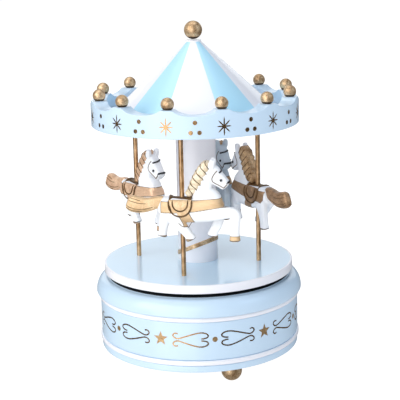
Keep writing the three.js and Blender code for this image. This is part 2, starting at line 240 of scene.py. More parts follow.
def lacquer(name, light, dark, look):
    # sprayed lacquer on turned beech: a shade that drifts a little, faint orange peel, a soft clear sheen
    material, tree, shader, place = newMaterial(name)
    drift = addNode(
        tree, "ShaderNodeTexNoise", {"Vector": place, "Scale": 1 / (look["driftMm"] * mm), "Detail": 3}
    )
    tint = addNode(
        tree, "ShaderNodeMix",
        {"Factor": drift.outputs["Fac"], 6: toLinear(light), 7: toLinear(dark)}, data_type="RGBA",
    )
    tree.links.new(tint.outputs[2], shader.inputs["Base Color"])
    peel = addNode(
        tree, "ShaderNodeTexNoise", {"Vector": place, "Scale": 1 / (look["peelMm"] * mm), "Detail": 2}
    )
    gloss = addNode(
        tree, "ShaderNodeMapRange",
        {"Value": peel.outputs["Fac"], 3: look["roughness"] - 0.04, 4: look["roughness"] + 0.05},
    )
    tree.links.new(gloss.outputs[0], shader.inputs["Roughness"])
    bump = addNode(
        tree, "ShaderNodeBump",
        {"Height": peel.outputs["Fac"], "Strength": look["peel"], "Distance": 0.05 * mm},
    )
    tree.links.new(bump.outputs[0], shader.inputs["Normal"])
    shader.inputs["IOR"].default_value = 1.5
    shader.inputs["Coat Weight"].default_value = look["coat"]
    shader.inputs["Coat Roughness"].default_value = look["coatRoughness"]
    return material


def gilding(name, light, dark, look):
    # bronze powder paint or stamped foil: metal flakes whose shade and gloss vary in small grains
    material, tree, shader, place = newMaterial(name)
    stretch = addNode(tree, "ShaderNodeMapping", {"Vector": place, "Scale": look.get("stretch", (1, 1, 1))})
    grain = addNode(
        tree, "ShaderNodeTexNoise",
        {"Vector": stretch.outputs[0], "Scale": 1 / (look["grainMm"] * mm), "Detail": 5},
    )
    cloud = addNode(
        tree, "ShaderNodeTexNoise", {"Vector": place, "Scale": 1 / (look["cloudMm"] * mm), "Detail": 2}
    )
    both = addNode(
        tree, "ShaderNodeMath", {0: grain.outputs["Fac"], 1: cloud.outputs["Fac"]}, operation="MULTIPLY"
    )
    shade = addNode(tree, "ShaderNodeMapRange", {"Value": both.outputs[0], 1: 0.12, 2: 0.4})
    tint = addNode(
        tree, "ShaderNodeMix",
        {"Factor": shade.outputs[0], 6: toLinear(dark), 7: toLinear(light)}, data_type="RGBA",
    )
    tree.links.new(tint.outputs[2], shader.inputs["Base Color"])
    gloss = addNode(
        tree, "ShaderNodeMapRange",
        {
            "Value": grain.outputs["Fac"], 1: 0.3, 2: 0.7,
            3: look["roughness"] - 0.07, 4: look["roughness"] + 0.1,
        },
    )
    tree.links.new(gloss.outputs[0], shader.inputs["Roughness"])
    bump = addNode(
        tree, "ShaderNodeBump",
        {"Height": grain.outputs["Fac"], "Strength": look["bump"], "Distance": 0.08 * mm},
    )
    tree.links.new(bump.outputs[0], shader.inputs["Normal"])
    shader.inputs["Metallic"].default_value = look["metallic"]
    return material


satin = dict(driftMm=38, peelMm=0.9, peel=0.12, roughness=0.36, coat=0.45, coatRoughness=0.1)
glossy = dict(driftMm=38, peelMm=1.1, peel=0.05, roughness=0.3, coat=0.6, coatRoughness=0.05)
# matt look of the painted shade in the gap under the platform
gapShadeLook = dict(driftMm=12, peelMm=0.8, peel=0.2, roughness=0.7, coat=0, coatRoughness=0.5)
# the pale blue of the base and rim: even and clean, going almost white where the light falls
blueLacquer = lacquer("sprayedBlueLacquerOnBeech", "#cee4f5", "#c6ddf2", satin)
# the roof's blue stripes: a fresher sky blue that stands out against the white ones
stripeLacquer = lacquer("sprayedSkyBlueStripe", "#bce7fa", "#b0e1f9", satin)
# the whites: bright and a little cool in shade
whiteLacquer = lacquer("sprayedWhiteLacquerOnBeech", "#f5f5fa", "#eeeef5", satin)
# the platform's top: the same blue polished, so that the rods stand in faint reflections
deckLacquer = lacquer("polishedBlueLacquer", "#cce7fa", "#c3e1f7", glossy)
# the balls, feet and strap: old gold with a bright middle, dark sides and a mottled brushed-on grain
ballGold = gilding(
    "bronzePowderPaintOnBeads", "#ffdfb4", "#9c7650",
    dict(grainMm=0.45, cloudMm=3, roughness=0.4, bump=0.8, metallic=0.68),
)
# the rods: the same paint with streaks that run along them
rodGold = gilding(
    "bronzePowderPaintOnRod", "#e6bf94", "#a57d54",
    dict(grainMm=0.5, cloudMm=4, roughness=0.34, bump=0.3, metallic=0.8, stretch=(1, 1, 0.15)),
)
# thin foil lines: pale gold where they catch the light, nearly black where they don't
foilGold = gilding(
    "hotStampedGoldFoil", "#ddb684", "#a17c54",
    dict(grainMm=0.35, cloudMm=2, roughness=0.27, bump=0.2, metallic=1),
)
# foil stars and dots of the base: stamped thicker, so a rougher gold that stays lighter in shade
thickFoilGold = gilding(
    "doubleStampedGoldFoil", "#ecc795", "#a8845c",
    dict(grainMm=0.5, cloudMm=1.5, roughness=0.36, bump=0.5, metallic=0.72),
)
# the gap under the platform, on the base's flat top and the platform's underside: painted shade, dark so
# that the gap reads as a deep shadow line
gapShadePaint = lacquer("paintedShadowInPlatformGap", "#2a2e36", "#1f2229", gapShadeLook)
# painted contact shadow: a dark ring where each ball sits
ballContactShade = gilding(
    "paintedContactShadowUnderBall", "#5c452c", "#33261a",
    dict(grainMm=0.4, cloudMm=2, roughness=0.6, bump=0.3, metallic=0.3),
)
print("materials made")

# ---- base

baseSize = dict(
    bore=4.2, rimFlat=46.4, lipTop=46.8, lipLow=37.4, lipFoot=36.8, band=50.6, bandTop=33.9, bandFoot=15.1,
    skirtTop=12.0, sole=50.0, bead=51.3, groove=49.9, lowBead=(12.4, 14.7), highBead=(34.2, 36.4),
    coverGap=0.3, coverSeat=2.5, coverStep=11.3, roofThick=6.3, gapShadeAbove=45, gapShadeRadius=46.3,
    segments=192,
)


def beadCorners(low, high, radius, groove):
    return [[groove, low - 0.15, 0.1], [radius, low, 1.0], [radius, high, 1.0], [groove, high + 0.15, 0.1]]


def baseRings():
    # rings from the shaft hole out over the lip, a quarter of an ellipse, and down past two beads; the last
    # ones go up inside, round the middle of the movement's pocket
    low, high = boxMm("base_drum")
    bottom, top, lip = low[2], high[2], high[0]
    coverLow, coverHigh = boxMm("bottom_cover")
    coverMiddle = (coverLow + coverHigh)[:2] / 2
    s = baseSize
    recess = (coverHigh - coverLow)[0] / 2 + s["coverGap"]
    pocket = recess - s["coverSeat"]
    ceiling = top - s["roofThick"]
    wide, tall = lip - s["lipTop"], top - 0.3 - s["lipLow"]
    a = np.linspace(math.pi / 2, 0, 14)
    ovolo = [[s["lipTop"] + wide * math.cos(x), s["lipLow"] + tall * math.sin(x), 0.2] for x in a]
    outer = (
        [[s["bore"], top, 0.2], [s["rimFlat"], top, 0.3]] + ovolo + [[lip - 0.3, s["lipFoot"], 0.3]]
        + beadCorners(*s["highBead"], s["bead"], s["groove"])[::-1]
        + [[s["band"], s["bandTop"], 0.3], [s["band"], s["bandFoot"], 0.3]]
        + beadCorners(*s["lowBead"], s["bead"], s["groove"])[::-1]
        + [[s["band"], s["skirtTop"], 0.3], [s["band"], bottom + 0.2, 0.6], [s["sole"], bottom, 0.3]]
    )
    inner = [
        [recess, bottom, 0], [recess, s["coverStep"], 0], [pocket, s["coverStep"], 0], [pocket, ceiling, 0],
        [s["bore"], ceiling, 0],
    ]
    profile = rounded(outer + inner)
    perCorner = len(profile) // len(outer + inner)
    shift = np.zeros((len(profile), 2))
    shift[len(outer) * perCorner : (len(outer) + 4) * perCorner] = coverMiddle
    return profile, shift


def basePiece():
    s = baseSize
    profile, shift = baseRings()

    def colours(middle):
        # white beads, and painted shade on the flat top under the platform, where the gap's shadow falls
        z, r = middle[:, 2], np.hypot(middle[:, 0], middle[:, 1])
        beads = [(z > low - 0.1) & (z < high + 0.1) for low, high in (s["lowBead"], s["highBead"])]
        hidden = (z > s["gapShadeAbove"]) & (r < s["gapShadeRadius"])
        return np.where(hidden, 2, (beads[0] | beads[1]) & (r > s["groove"] - 0.1)).astype(int)

    makePiece(
        "turnedBase", turnedShape(profile, s["segments"], shift), [blueLacquer, whiteLacquer, gapShadePaint],
        "base", ["base_drum"], colours,
    )


footSize = dict(radius=5.1, sunk=0.3, segments=64)


def footPiece(i):
    # a ball: half a circle spun round its own axis, cut flat inside the base
    low, high = boxMm(f"foot_{i}")
    radius = footSize["radius"]
    profile = ballProfile(radius, radius, radius, high[2] + footSize["sunk"] - radius)
    points, faces = turnedShape(profile, footSize["segments"])
    points[..., :2] += (low + high)[:2] / 2
    makePiece(f"ballFoot{i}", (points, faces), [ballGold], "base", [f"foot_{i}"])


basePiece()
for i in (1, 2, 3):
    footPiece(i)

# ---- foil on the base band

bandFoil = dict(
    height=25.5, firstStar=-21.8, star=3.75, starInner=1.6, dot=1.3, line=0.68, thick=0.035,
    heartStart=6.05,  # from the middle of the star to the tip of the curl
)


def starOutline(outer, inner, rays, turn=90, perRay=8):
    # straight lines between tips and hollows, sampled evenly
    a = np.radians(turn + np.arange(2 * rays) * 180 / rays)
    r = np.where(np.arange(2 * rays) % 2 == 0, outer, inner)
    tips = np.stack([r * np.cos(a), r * np.sin(a)], 1)
    t = np.linspace(0, 1, perRay, endpoint=False)[None, :, None]
    return (tips[:, None] * (1 - t) + np.roll(tips, -1, 0)[:, None] * t).reshape(-1, 2)


def discOutline(radius, count=32):
    a = np.linspace(0, 2 * np.pi, count, endpoint=False)
    return np.stack([radius * np.cos(a), radius * np.sin(a)], 1)


def heartLine():
    # upper half of a heart lying on its side, a smooth curve from the curl beside the star to the hook in
    # the heart's cleft
    return smoothLine([
        [2.6, 3.0], [1.5, 3.25], [0.45, 2.75], [0.25, 1.85], [1.1, 0.95], [2.8, 0.62], [5.9, 1.55],
        [9.8, 2.8], [13.4, 3.55], [16.0, 3.15], [17.2, 2.05], [16.5, 1.0], [15.0, 0.6], [13.9, 0.55],
    ])


def bandFoilPieces():
    s = bandFoil
    stars = s["firstStar"] + 60 * np.arange(6)
    drum = baseSize["band"]
    star = foilPatch(starOutline(s["star"], s["starInner"], 5), s["height"], drum, s["thick"])
    dot = foilPatch(discOutline(s["dot"]), s["height"], drum, s["thick"])
    shapes = [(p, star[1]) for p in spun(star[0], stars)]
    shapes += [(p, dot[1]) for p in spun(dot[0], stars + 30)]
    makePiece("bandStarsAndDots", joined(shapes), [thickFoilGold], "base", sharp=60)
    line = heartLine()
    hearts = []
    for mirror in (1, -1):
        for flip in (1, -1):
            drawn = np.stack([mirror * (line[:, 0] + s["heartStart"]), flip * line[:, 1]], 1)
            points, faces = foilRibbon(drawn, s["line"], s["height"], drum, s["thick"])
            hearts += [(p, faces) for p in spun(points, stars)]
    makePiece("bandHeartScrolls", joined(hearts), [foilGold], "base", sharp=60)


bandFoilPieces()
print("base made")

# ---- platform, column and rods

deckSize = dict(bore=2.3, rim=1.0, edge=0.5, paint=0.02, segments=192)


def deckPiece():
    # a disc: its outline spun round Z, with soft edges and the blue paint a hair thicker than the white
    low, high = boxMm("platform")
    radius, bottom, top = high[0], low[2], high[2]
    s = deckSize
    border = radius - s["rim"]
    painted = top + s["paint"]
    profile = rounded([
        [s["bore"], bottom, 0], [radius, bottom, s["edge"]], [radius, top, s["edge"]], [border, top, 0],
        [border - s["paint"], painted, 0], [s["bore"], painted, 0],
    ])

    def colours(middle):
        # painted shade underneath, for the shadow in the gap, white edge, blue top
        r = np.hypot(middle[:, 0], middle[:, 1])
        under = middle[:, 2] < bottom + 0.01
        return np.where(under, 2, (middle[:, 2] < top - 0.001) | (r > border)).astype(int)

    makePiece(
        "turnedPlatform", turnedShape(profile, s["segments"]), [deckLacquer, whiteLacquer, gapShadePaint],
        "carousel", ["platform"], colours,
    )


columnSize = dict(
    sunk=0.3, edge=0.15, segments=96, strapHeight=58.7, strapSlant=4.5, strapTurn=34, strapWide=2.3,
    strapThick=0.5, strapSunk=0.1, strapSteps=128,
)


def columnPiece():
    # a plain cylinder with soft edges that ends inside the platform and the canopy
    low, high = boxMm("column")
    s = columnSize
    foot, head = low[2] - s["sunk"], high[2] + s["sunk"]
    profile = rounded([[0, foot, 0], [high[0], foot, s["edge"]], [high[0], head, s["edge"]], [0, head, 0]])
    makePiece(
        "turnedColumn", turnedShape(profile, s["segments"]), [whiteLacquer], "carousel", ["column"],
    )
    # slanted strap round the foot: a ring whose height follows one wave of a sine round the column
    a = np.linspace(0, 2 * np.pi, s["strapSteps"], endpoint=False)
    middle = s["strapHeight"] + s["strapSlant"] * np.sin(a + math.radians(s["strapTurn"]))
    section = rounded([[0, -1, 0], [1, -1, 0.35], [1, 1, 0.35], [0, 1, 0]])
    r = high[0] - s["strapSunk"] + section[:, :1] * s["strapThick"]
    z = middle[None] + section[:, 1:] * s["strapWide"] / 2
    points = np.stack([r * np.sin(a)[None], -r * np.cos(a)[None], z], -1)
    strap = points, gridFaces(len(section), len(a), True)
    makePiece("columnStrap", strap, [ballGold], "carousel")


rodSize = dict(rings=40, segments=32, swell=0.012, swellTurn=0.9, ripple=0.008, rippleTurn=2.3)


def rodPiece(i):
    # a thin rod spun round its own axis; its radius swells and ripples by two small sines, as wood turned
    # by hand does
    low, high = boxMm(f"pole_{i}")
    s = rodSize
    z = np.linspace(low[2], high[2], s["rings"])
    waves = s["swell"] * np.sin(z * s["swellTurn"] + i) + s["ripple"] * np.sin(z * s["rippleTurn"])
    r = (high - low)[0] / 2 * (1 + waves)
    profile = np.vstack([[0, z[0]], np.stack([r, z], 1), [0, z[-1]]])
    points, faces = turnedShape(profile, s["segments"])
    points[..., :2] += (low + high)[:2] / 2
    makePiece(f"rod{i}", (points, faces), [rodGold], "carousel", [f"pole_{i}"])


deckPiece()
columnPiece()
for i in (1, 2, 3, 4):
    rodPiece(i)
print("platform, column and rods made")

# ---- canopy

rimSize = dict(balls=12, flat=3.6, dip=2.7, power=1.3, edge=0.3, outerEdge=0.35, overlap=0.3, segments=360)


def rimHeight(azimuth, crest):
    # level under each ball, then a hollow quarter curve down to the middle between two balls
    half = 180 / rimSize["balls"]
    off = np.abs(azimuth % (2 * half) - half)
    along = np.clip((off - rimSize["flat"]) / (half - rimSize["flat"]), 0, 1)
    return crest - rimSize["dip"] * np.sqrt(np.clip(1 - (1 - along) ** 2, 0, 1)) ** rimSize["power"]


def rimPiece():
    # a soft-edged box section carried round a circle; its upper half rises and falls with the scallops
    low, high = boxMm("canopy_rim")
    s = rimSize
    outer, bottom, crest = high[0], low[2], high[2]
    inner = boxMm("canopy_disc")[1][0] + s["overlap"]
    az = np.linspace(0, 360, s["segments"], endpoint=False)
    depth = rimHeight(az, crest) - bottom
    tall = 10  # drawn this high at first, then stretched
    section = rounded([
        [inner, 0, s["edge"]], [outer, 0, s["outerEdge"]], [outer, tall, s["outerEdge"]],
        [inner, tall, s["edge"]],
    ])
    r, h = section[:, :1], section[:, 1:]
    z = np.where(h > tall / 2, bottom + depth[None] - (tall - h), bottom + h)
    a = np.radians(az)[None]
    points = np.stack([r * np.sin(a), -r * np.cos(a), z], -1)
    makePiece(
        "scallopedRim", (points, gridFaces(len(section), len(az), True)), [blueLacquer], "carousel",
        ["canopy_rim"], sharp=50,
    )
    return outer


roofSize = dict(
    wall=6, capRadius=3.9, capHigh=0.7, hollow=8.7, rings=30, segments=240, eaves=0.85,
    stripePairs=5, stripeTurn=-1.5, whiteHalf=19.5,  # the white stripes are a little wider than the blue
)


def conePiece():
    # a hollow cone with a flat cap: its outline spun round Z, the slope cut into short rings so that the
    # stripes keep straight edges
    low, high = boxMm("roof_cone")
    s = roofSize
    outer, bottom, top = high[0], low[2], high[2]
    profile = rounded([
        [outer - s["wall"], bottom, 0], [outer, bottom, 0.3], [s["capRadius"], top - s["capHigh"], 0.25],
        [s["capRadius"], top, 0.2], [0, top, 0],
    ])
    t = np.linspace(0, 1, s["rings"])[:, None]
    slope = profile[9] * (1 - t) + profile[10] * t
    profile = np.vstack([[0, top - s["hollow"]], profile[:9], slope, profile[10:]])

    def colours(middle):
        # stripes by azimuth on the slope only; the cap and the inside stay white
        az = np.degrees(np.arctan2(middle[:, 0], -middle[:, 1]))
        pitch = 360 / s["stripePairs"]
        off = (az - s["stripeTurn"] + pitch / 2) % pitch - pitch / 2
        stripe = (np.abs(off) > s["whiteHalf"]).astype(int)
        r = np.hypot(middle[:, 0], middle[:, 1])
        outside = middle[:, 2] > bottom + 1e-3 + (outer - r) * s["eaves"]
        return np.where(outside & (middle[:, 2] < top - s["capHigh"] - 0.05), stripe, 0)

    makePiece(
        "stripedRoof", turnedShape(profile, s["segments"]), [whiteLacquer, stripeLacquer], "carousel",
        ["roof_cone"], colours,
    )


discSize = dict(overlap=0.3, edge=0.2, segments=144)


def discPiece():
    # a flat disc with soft edges, let into the rim
    low, high = boxMm("canopy_disc")
    edge = discSize["edge"]
    radius = high[0] + discSize["overlap"]
    profile = rounded([[0, low[2], 0], [radius, low[2], edge], [radius, high[2], edge], [0, high[2], 0]])
    makePiece(
        "canopyFloor", turnedShape(profile, discSize["segments"]), [whiteLacquer], "carousel",
        ["canopy_disc"],
    )


# the dark seat at each ball's bottom is painted contact shadow
ballSize = dict(  # growth, depth of the dark seat, rings, segments
    rim=(1.01, 0.85, 24, 48),
    roof=(1, 1.3, 32, 72),
    sunk=0.3,
)


def ballPiece(name, node, kind):
    # a ball: half a circle spun round its own axis, cut flat inside the wood it stands on
    grow, contactShadeDeep, rings, segments = ballSize[kind]
    low, high = boxMm(node)
    radius = (high - low)[0] / 2 * grow
    centre = high[2] - radius
    points, faces = turnedShape(
        ballProfile(radius, centre, centre - low[2] + ballSize["sunk"], radius, rings), segments
    )
    points[..., :2] += (low + high)[:2] / 2

    def colours(middle):
        # the lowest part of the ball painted dark as the contact shadow where it sits
        return (middle[:, 2] < low[2] + contactShadeDeep).astype(int)

    makePiece(name, (points, faces), [ballGold, ballContactShade], "carousel", [node], colours)


rimFoil = dict(
    starHeight=128.2, up=4.5, side=3.5, diagonal=4.0, waist=0.85, ray=0.6, shoulder=0.72, dot=1.05,
    high=130.3, low=125.65, spread=2.25, thick=0.035,
)


def rimFoilPieces(drum):
    # snowflake of eight tapered rays, and three dots set as a triangle
    s = rimFoil
    a = np.radians(90 - np.arange(16) * 22.5).reshape(8, 2)
    reach = np.array([s["up"], s["diagonal"], s["side"], s["diagonal"]] * 2)
    ray = np.stack([np.cos(a), np.sin(a)], -1)
    across = np.stack([-np.sin(a), np.cos(a)], -1)[:, :1]
    along = reach[:, None, None] * ray[:, :1]
    half = across * s["ray"] / 2
    shoulder = along * s["shoulder"]
    corners = np.concatenate([shoulder + half, along, shoulder - half, ray[:, 1:] * s["waist"]], 1)
    corners = corners.reshape(-1, 2)
    t = np.linspace(0, 1, 4, endpoint=False)[None, :, None]
    outline = (corners[:, None] * (1 - t) + np.roll(corners, -1, 0)[:, None] * t).reshape(-1, 2)
    star = foilPatch(outline, s["starHeight"], drum, s["thick"])
    places = 30 * np.arange(12)
    shapes = [(p, star[1]) for p in spun(star[0], 15 + places)]
    for height, offsets in ((s["high"], [0]), (s["low"], [-s["spread"], s["spread"]])):
        dot = foilPatch(discOutline(s["dot"], 24), height, drum, s["thick"])
        for offset in offsets:
            shapes += [(p, dot[1]) for p in spun(dot[0], offset + places)]
    makePiece("rimStarsAndDots", joined(shapes), [foilGold], "carousel", sharp=60)


rimFoilPieces(rimPiece())
conePiece()
discPiece()
for i in range(1, rimSize["balls"] + 1):
    ballPiece(f"rimBall{i}", f"rim_ball_{i}", "rim")
ballPiece("roofBall", "roof_finial", "roof")
print("canopy made")

# ---- horses, drawn nose to +X with the rod at x = y = 0, then set round the platform

horsePlaces = [(-13, -8), (-103, -53), (77, 120), (167, -66)]  # azimuth of the rod, heading from +X
rodCircle = 31.5  # distance of the rods from the middle of the platform
leg = 3.2  # distance of a leg from the middle of the horse

horseLimbs = dict(  # stations: x, y, z, half height across the path, half width
    trunk=[[-11.2, 0, 88.0, 3.2, 2.8], [-8.6, 0, 87, 4.6, 4.1], [-4, 0, 85.7, 5.4, 4.7],
           [2, 0, 84.9, 5.9, 4.8], [9, 0, 85, 5.9, 4.9], [14.5, 0, 85.6, 6.0, 4.8],
           [18.2, 0, 86.5, 5.1, 4.3], [20.4, 0, 87.2, 3.6, 3.3]],
    neck=[[12.6, 0, 84.5, 7.6, 4.3], [11.9, 0, 89.4, 7.3, 4.0], [10.1, 0, 95.2, 5.0, 3.4],
          [11.3, 0, 100.4, 4.2, 3.0], [13.4, 0, 105.6, 3.2, 2.7]],
    head=[[11.9, 0, 105.4, 2.6, 2.6], [13.6, 0, 103.9, 3.9, 2.8], [15.4, 0, 102.2, 4.15, 2.9],
          [17.1, 0, 100.7, 3.75, 2.8], [19.4, 0, 98.7, 3.05, 2.5], [22.0, 0, 96.4, 2.45, 2.1]],
    nearFore=[[12.5, -leg, 83.6, 3.4, 1.9], [18, -leg, 84.0, 3.2, 1.9], [23.6, -leg, 84.3, 2.7, 1.9],
              [25.9, -leg, 83.2, 2.6, 1.9], [25.8, -leg, 79, 2.4, 1.8], [25.5, -leg, 75, 2.3, 1.7],
              [25.6, -leg, 72.6, 2.4, 1.8], [25.7, -leg, 69.9, 2.7, 2]],
    farFore=[[12.6, leg, 83.6, 3.6, 1.9], [16.6, leg, 80.4, 2.9, 1.8], [16.6, leg, 77, 2.4, 1.7],
             [14.8, leg, 73.6, 2.3, 1.6], [13.7, leg, 70.6, 2.8, 1.9]],
    nearHind=[[-5.2, -leg, 84.6, 4.4, 2.1], [-2.4, -leg, 80.2, 3.3, 1.9], [0.9, -leg, 76.2, 2.5, 1.8],
              [3.4, -leg, 73, 2.2, 1.7], [4.9, -leg, 70.4, 2.6, 1.9]],
    farHind=[[-7, leg, 84.4, 4.1, 2], [-8.8, leg, 80, 3.0, 1.8], [-9.8, leg, 76.2, 2.3, 1.7],
             [-10.3, leg, 73, 2.1, 1.7], [-11, leg, 70.4, 2.5, 1.9]],
    nearEar=[[14.1, -1.9, 105.4, 1.4, 1.2], [14.8, -2.2, 107.2, 1.6, 1.2], [15.4, -2.4, 110.0, 1.1, 0.9]],
    farEar=[[14.1, 1.9, 105.4, 1.4, 1.2], [14.8, 2.2, 107.2, 1.6, 1.2], [15.4, 2.4, 110.0, 1.1, 0.9]],
)
horseMane = [[14.0, 0, 107.9, 1.3, 2.0], [12.0, 0, 106.3, 2.8, 2.9], [9.4, 0, 102.2, 3.2, 3.2],
             [7.2, 0, 98.2, 3.1, 3.6], [5.0, 0, 94.4, 2.4, 3.3], [2.2, 0, 92.4, 1.4, 2.2]]
horseTail = [[-8.4, 0, 88.9, 2.6, 2.0], [-12, 0, 88.4, 2.9, 2.2], [-16, 0, 87.3, 3.3, 2.3],
             [-20, 0, 87.0, 3.8, 2.4], [-24, 0, 87.7, 4.1, 2.2], [-26.9, 0, 88.9, 3.0, 1.7]]
horsePaint = dict(nearHoof=72.9, hoof=71.2, girthWide=2.8, soft=0.16, belly=85, girthLow=77.5, rump=9.9)
horseBuild = dict(voxel=0.3, smoothing=3, power=3.4, blunt=0.4)  # a higher power gives squarer limbs


def limbPoints(line, angle, size=1):
    # oval section at each row of `line`, in the upright plane across its path; squarer than an ellipse
    way = np.gradient(line[:, :3], axis=0)[:, [0, 2]]
    way /= np.linalg.norm(way, axis=1)[:, None]
    power = 2 / horseBuild["power"]
    up = line[:, 3:4] * size * np.sign(np.cos(angle)) * np.abs(np.cos(angle)) ** power
    wide = line[:, 4:5] * size * np.sign(np.sin(angle)) * np.abs(np.sin(angle)) ** power
    x, y, z = line[:, :1] - way[:, 1:2] * up, line[:, 1:2] + wide, line[:, 2:3] + way[:, :1] * up
    return np.stack([x, y, z], -1)


def limbShape(stations, steps=10, around=40, groove=None):
    # the oval carried along a smooth line, with the edge rounded off at both ends
    line = smoothLine(stations, steps)
    step = np.r_[0, np.cumsum(np.linalg.norm(np.diff(line[:, :3], axis=0), axis=1))]
    cap = horseBuild["blunt"] * line[[0, -1], 3]
    ends = np.linspace(0, 1, 7)[1:-1]
    rows = np.unique(np.r_[step, ends * cap[0], step[-1] - ends * cap[1]])
    line = np.stack([np.interp(rows, step, line[:, i]) for i in range(5)], 1)
    near = np.minimum(np.minimum(rows / cap[0], (rows[-1] - rows) / cap[1]), 1)
    size = np.sqrt(np.clip(1 - (1 - near) ** 2, 0, 1))[:, None]
    angle = np.linspace(0, 2 * np.pi, around, endpoint=False)[None]
    if groove is not None:
        size = size * groove(rows[:, None] / rows[-1], angle)
    return limbPoints(line, angle, size), gridFaces(len(line), around)


def limbStroke(stations, along, angles, radius, lift=0.02, count=14, around=72):
    # a brush line on a limb, from one place along it and angle round it to another: points of the limb's
    # own surface, mixed between its rows and then between neighbours in a row
    line = smoothLine(stations, 12)
    t = np.linspace(0, 1, count)
    row = (along[0] + (along[1] - along[0]) * t) * (len(line) - 1)
    angle = np.radians(angles[0] + (angles[1] - angles[0]) * t)
    whole = limbPoints(line, np.linspace(0, 2 * np.pi, around + 1)[None])
    low, high = whole[np.floor(row).astype(int)], whole[np.ceil(row).astype(int)]
    mixed = low + (high - low) * (row % 1)[:, None, None]
    place = (angle / (2 * np.pi) * around) % around
    k = np.floor(place).astype(int)
    part = (place % 1)[:, None]
    each = np.arange(count)
    flat = mixed[each, k] * (1 - part) + mixed[each, k + 1] * part
    flat[:, 1] += np.sign(flat[:, 1]) * lift
    return tubeShape(flat, radius, 8)


def looseObject(name, shape):
    points, faces = shape
    mesh = bpy.data.meshes.new(name)
    mesh.from_pydata((points.reshape(-1, 3) * mm).tolist(), [], faces.tolist())
    bm = bmesh.new()
    bm.from_mesh(mesh)
    bmesh.ops.remove_doubles(bm, verts=bm.verts, dist=2e-6)
    bmesh.ops.recalc_face_normals(bm, faces=bm.faces)
    bm.to_mesh(mesh)
    bm.free()
    piece = bpy.data.objects.new(name, mesh)
    bpy.context.scene.collection.objects.link(piece)
    return piece


def carvedMesh(name, shapes):
    # limbs fused into one skin of small voxels, then rubbed smooth as with sandpaper
    rough = looseObject(name, joined(shapes))
    fuse = rough.modifiers.new("fuse", "REMESH")
    fuse.mode = "VOXEL"
    fuse.voxel_size = horseBuild["voxel"] * mm
    rub = rough.modifiers.new("rub", "SMOOTH")
    rub.iterations = horseBuild["smoothing"]
    rub.factor = 0.5
    ready = rough.evaluated_get(bpy.context.evaluated_depsgraph_get())
    mesh = bpy.data.meshes.new_from_object(ready)
    bpy.data.objects.remove(rough)
    return mesh


def vertexArray(mesh):
    points = np.empty(len(mesh.vertices) * 3, np.float32)
    mesh.vertices.foreach_get("co", points)
    return points.reshape(-1, 3) / mm


def softStep(value):
    # 0 outside, 1 inside, over the width of a brush's edge
    return np.clip(0.5 + value / (2 * horsePaint["soft"]), 0, 1)


def giltMask(p):
    # where the carved body is painted gold: a belt right round it, the girth under it and the hooves
    s = horsePaint
    x, y, z = p[:, 0], p[:, 1], p[:, 2]
    beltLow = np.interp(x, [-12, -9.8, -4, 6.9, 13, 19, 22], [84.2, 84.0, 84.2, 84.9, 86.0, 87.0, 87.2])
    beltHigh = np.interp(x, [-12, -9.8, -4, 6.5, 13.6, 19, 22], [89.4, 89.4, 89.6, 90.1, 90.7, 91.0, 91.0])
    belt = np.minimum(np.minimum(z - beltLow, beltHigh - z), x + s["rump"])
    middle = np.interp(z, [77, 79, 83, 86], [4.4, 3.8, 1.6, 0.4])
    girth = np.minimum(s["girthWide"] - np.abs(x - middle), np.minimum(s["belly"] - z, z - s["girthLow"]))
    hoofTop = np.where((y < 0) & (x > 18), s["nearHoof"], s["hoof"])
    return np.maximum.reduce([softStep(belt), softStep(girth), softStep(hoofTop - z)])


def paintedHorse(tone, light, dark, white, shade):
    # white lacquer with gold paint brushed on where the mask says: a crisp brown edge sets the gold off
    material, tree, shader, place = newMaterial("whiteLacquerWithBrushedGold" + tone)
    mask = addNode(tree, "ShaderNodeAttribute", attribute_name="gilt").outputs["Fac"]
    drift = addNode(tree, "ShaderNodeTexNoise", {"Vector": place, "Scale": 1 / (9 * mm), "Detail": 3})
    white = addNode(
        tree, "ShaderNodeMix", {"Factor": drift.outputs["Fac"], 6: toLinear(white), 7: toLinear(shade)},
        data_type="RGBA",
    )
    strokes = addNode(tree, "ShaderNodeMapping", {"Vector": place, "Scale": (0.2, 0.6, 1)})
    grain = addNode(
        tree, "ShaderNodeTexNoise", {"Vector": strokes.outputs[0], "Scale": 1 / (0.7 * mm), "Detail": 4}
    )
    gold = addNode(
        tree, "ShaderNodeMix", {"Factor": grain.outputs["Fac"], 6: toLinear(light), 7: toLinear(dark)},
        data_type="RGBA",
    )
    edge = addNode(tree, "ShaderNodeMath", {0: mask, 1: 0.5}, operation="SUBTRACT")
    edge = addNode(tree, "ShaderNodeMath", {0: edge.outputs[0]}, operation="ABSOLUTE")
    rim = addNode(tree, "ShaderNodeMapRange", {"Value": edge.outputs[0], 1: 0.15, 2: 0.5})
    colour = addNode(
        tree, "ShaderNodeMix", {"Factor": mask, 6: white.outputs[2], 7: gold.outputs[2]}, data_type="RGBA"
    )
    final = addNode(
        tree, "ShaderNodeMix",
        {"Factor": rim.outputs[0], 6: toLinear("#6e5230"), 7: colour.outputs[2]}, data_type="RGBA",
    )
    tree.links.new(final.outputs[2], shader.inputs["Base Color"])
    metal = addNode(tree, "ShaderNodeMapRange", {"Value": mask, 1: 0.4, 2: 0.9, 3: 0, 4: 0.3})
    tree.links.new(metal.outputs[0], shader.inputs["Metallic"])
    bump = addNode(
        tree, "ShaderNodeBump", {"Height": grain.outputs["Fac"], "Strength": 0.15, "Distance": 0.06 * mm}
    )
    tree.links.new(bump.outputs[0], shader.inputs["Normal"])
    shader.inputs["Roughness"].default_value = 0.38
    return material


def brushedGold(name, light, dark):
    # gold paint brushed on carved wood: mostly matt, with a soft glint along the grooves
    return gilding(name, light, dark, dict(grainMm=0.6, cloudMm=3, roughness=0.4, bump=0.4, metallic=0.3))
